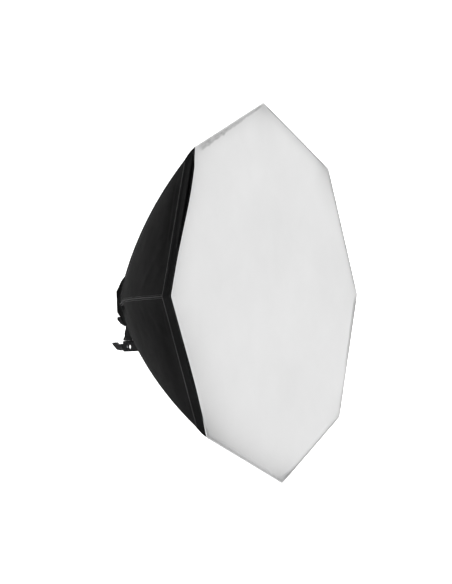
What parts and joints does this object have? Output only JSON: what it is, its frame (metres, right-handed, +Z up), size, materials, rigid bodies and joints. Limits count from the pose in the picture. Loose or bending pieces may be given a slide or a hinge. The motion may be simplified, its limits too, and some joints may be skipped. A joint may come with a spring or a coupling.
{
  "type": "studio softbox",
  "caption": "Octagonal softbox with a bowed black fabric shell on spring rods, a white front diffuser, a lamp head with lampholders, and a swivelling stand bracket with a clamp lever.",
  "frame": {"origin": "centre of the stand socket, the cross bore in the clamp block", "axes": "+Y from the white front to the back of the lamp head, along the optical axis; +Z up, towards an octagon corner; +X to the right as the front is seen, along the stand socket"},
  "size_m": [0.9488, 0.4964, 0.9488],
  "materials": {
    "shell_fabric": "matt coated black nylon, plain weave, silver inside",
    "band_fabric": "black webbing binding with topstitching",
    "tape": "black loop tape",
    "hem_tape": "light grey hem tape with topstitching",
    "diffuser_fabric": "white translucent diffusion cloth",
    "spring_steel": "drawn spring steel wire",
    "black_rubber": "black rubber",
    "housing_plastic": "fine-textured black moulding",
    "white_metal": "white powder coat",
    "bright_steel": "zinc plated",
    "holder_plastic": "cream heat-resistant moulding",
    "lamp_cap": "plain aluminium",
    "lamp_glass": "opal diffuser dome",
    "wire_sheath": "insulated lead",
    "switch_plastic": "glossy black moulding",
    "rocker_plastic": "red rocker",
    "blade_brass": "plain brass",
    "block_metal": "black powder coat on cast alloy",
    "friction_fibre": "dark fibre washer",
    "lever_plastic": "black glass-filled moulding"
  },
  "bodies": {
    "stand_clamp": {"clamp_block": "block_metal", "friction_washer": "friction_fibre", "swivel_bolt": "bright_steel", "spring_washers": "bright_steel"},
    "softbox_head": {"gore_1": "shell_fabric", "gore_2": "shell_fabric", "gore_3": "shell_fabric", "gore_4": "shell_fabric", "gore_5": "shell_fabric", "gore_6": "shell_fabric", "gore_7": "shell_fabric", "gore_8": "shell_fabric", "rear_collar": "shell_fabric", "lip_band": "band_fabric", "lip_flange": "band_fabric", "rod_pockets": "band_fabric", "loop_tape": "tape", "hook_tape": "hem_tape", "diffuser_hem": "hem_tape", "diffuser": "diffuser_fabric", "rod_1": "spring_steel", "rod_2": "spring_steel", "rod_3": "spring_steel", "rod_4": "spring_steel", "rod_5": "spring_steel", "rod_6": "spring_steel", "rod_7": "spring_steel", "rod_8": "spring_steel", "rod_tips": "black_rubber", "rod_socket_ring": "housing_plastic", "rear_cover": "housing_plastic", "bracket_arm": "housing_plastic", "lamp_plate": "white_metal", "cover_screws": "bright_steel", "holder_screws": "bright_steel", "lampholder_1": "holder_plastic", "lampholder_2": "holder_plastic", "lampholder_3": "holder_plastic", "lampholder_4": "holder_plastic", "terminal_block": "holder_plastic", "lamp_bases": "lamp_cap", "lamp_globes": "lamp_glass", "wiring": "wire_sheath", "switch_frame_1": "switch_plastic", "switch_frame_2": "switch_plastic", "mains_inlet": "switch_plastic", "inlet_pins": "blade_brass"},
    "pad_body": {"clamp_pad": "spring_steel"},
    "lever_body": {"clamp_screw": "bright_steel", "clamp_lever": "lever_plastic"},
    "rocker_1_body": {"rocker_1": "rocker_plastic"},
    "rocker_2_body": {"rocker_2": "rocker_plastic"}
  },
  "joints": [
    {"name": "swivel", "type": "hinge", "parent": "stand_clamp", "child": "softbox_head", "pos_m": [0, -0.004, 0.017], "axis": [0, 0, 1], "range_deg": [-35, 35]},
    {"name": "clamp_feed", "type": "slide", "parent": "stand_clamp", "child": "pad_body", "axis": [0, -1, 0], "range_m": [-0.00125, 0.00125]},
    {"name": "clamp_turn", "type": "hinge", "parent": "pad_body", "child": "lever_body", "pos_m": [0, 0.02, 0], "axis": [0, -1, 0], "range_deg": [-360, 360]},
    {"name": "rocker_1_tilt", "type": "hinge", "parent": "softbox_head", "child": "rocker_1_body", "pos_m": [-0.011, 0.001, 0.1314], "axis": [1, 0, 0], "range_deg": [0, 20]},
    {"name": "rocker_2_tilt", "type": "hinge", "parent": "softbox_head", "child": "rocker_2_body", "pos_m": [0.011, 0.001, 0.1314], "axis": [1, 0, 0], "range_deg": [0, 20]}
  ],
  "couplings": [
    {"joint": "clamp_feed", "follows": "clamp_turn", "m_per_rad": 0.00019894}
  ]
}
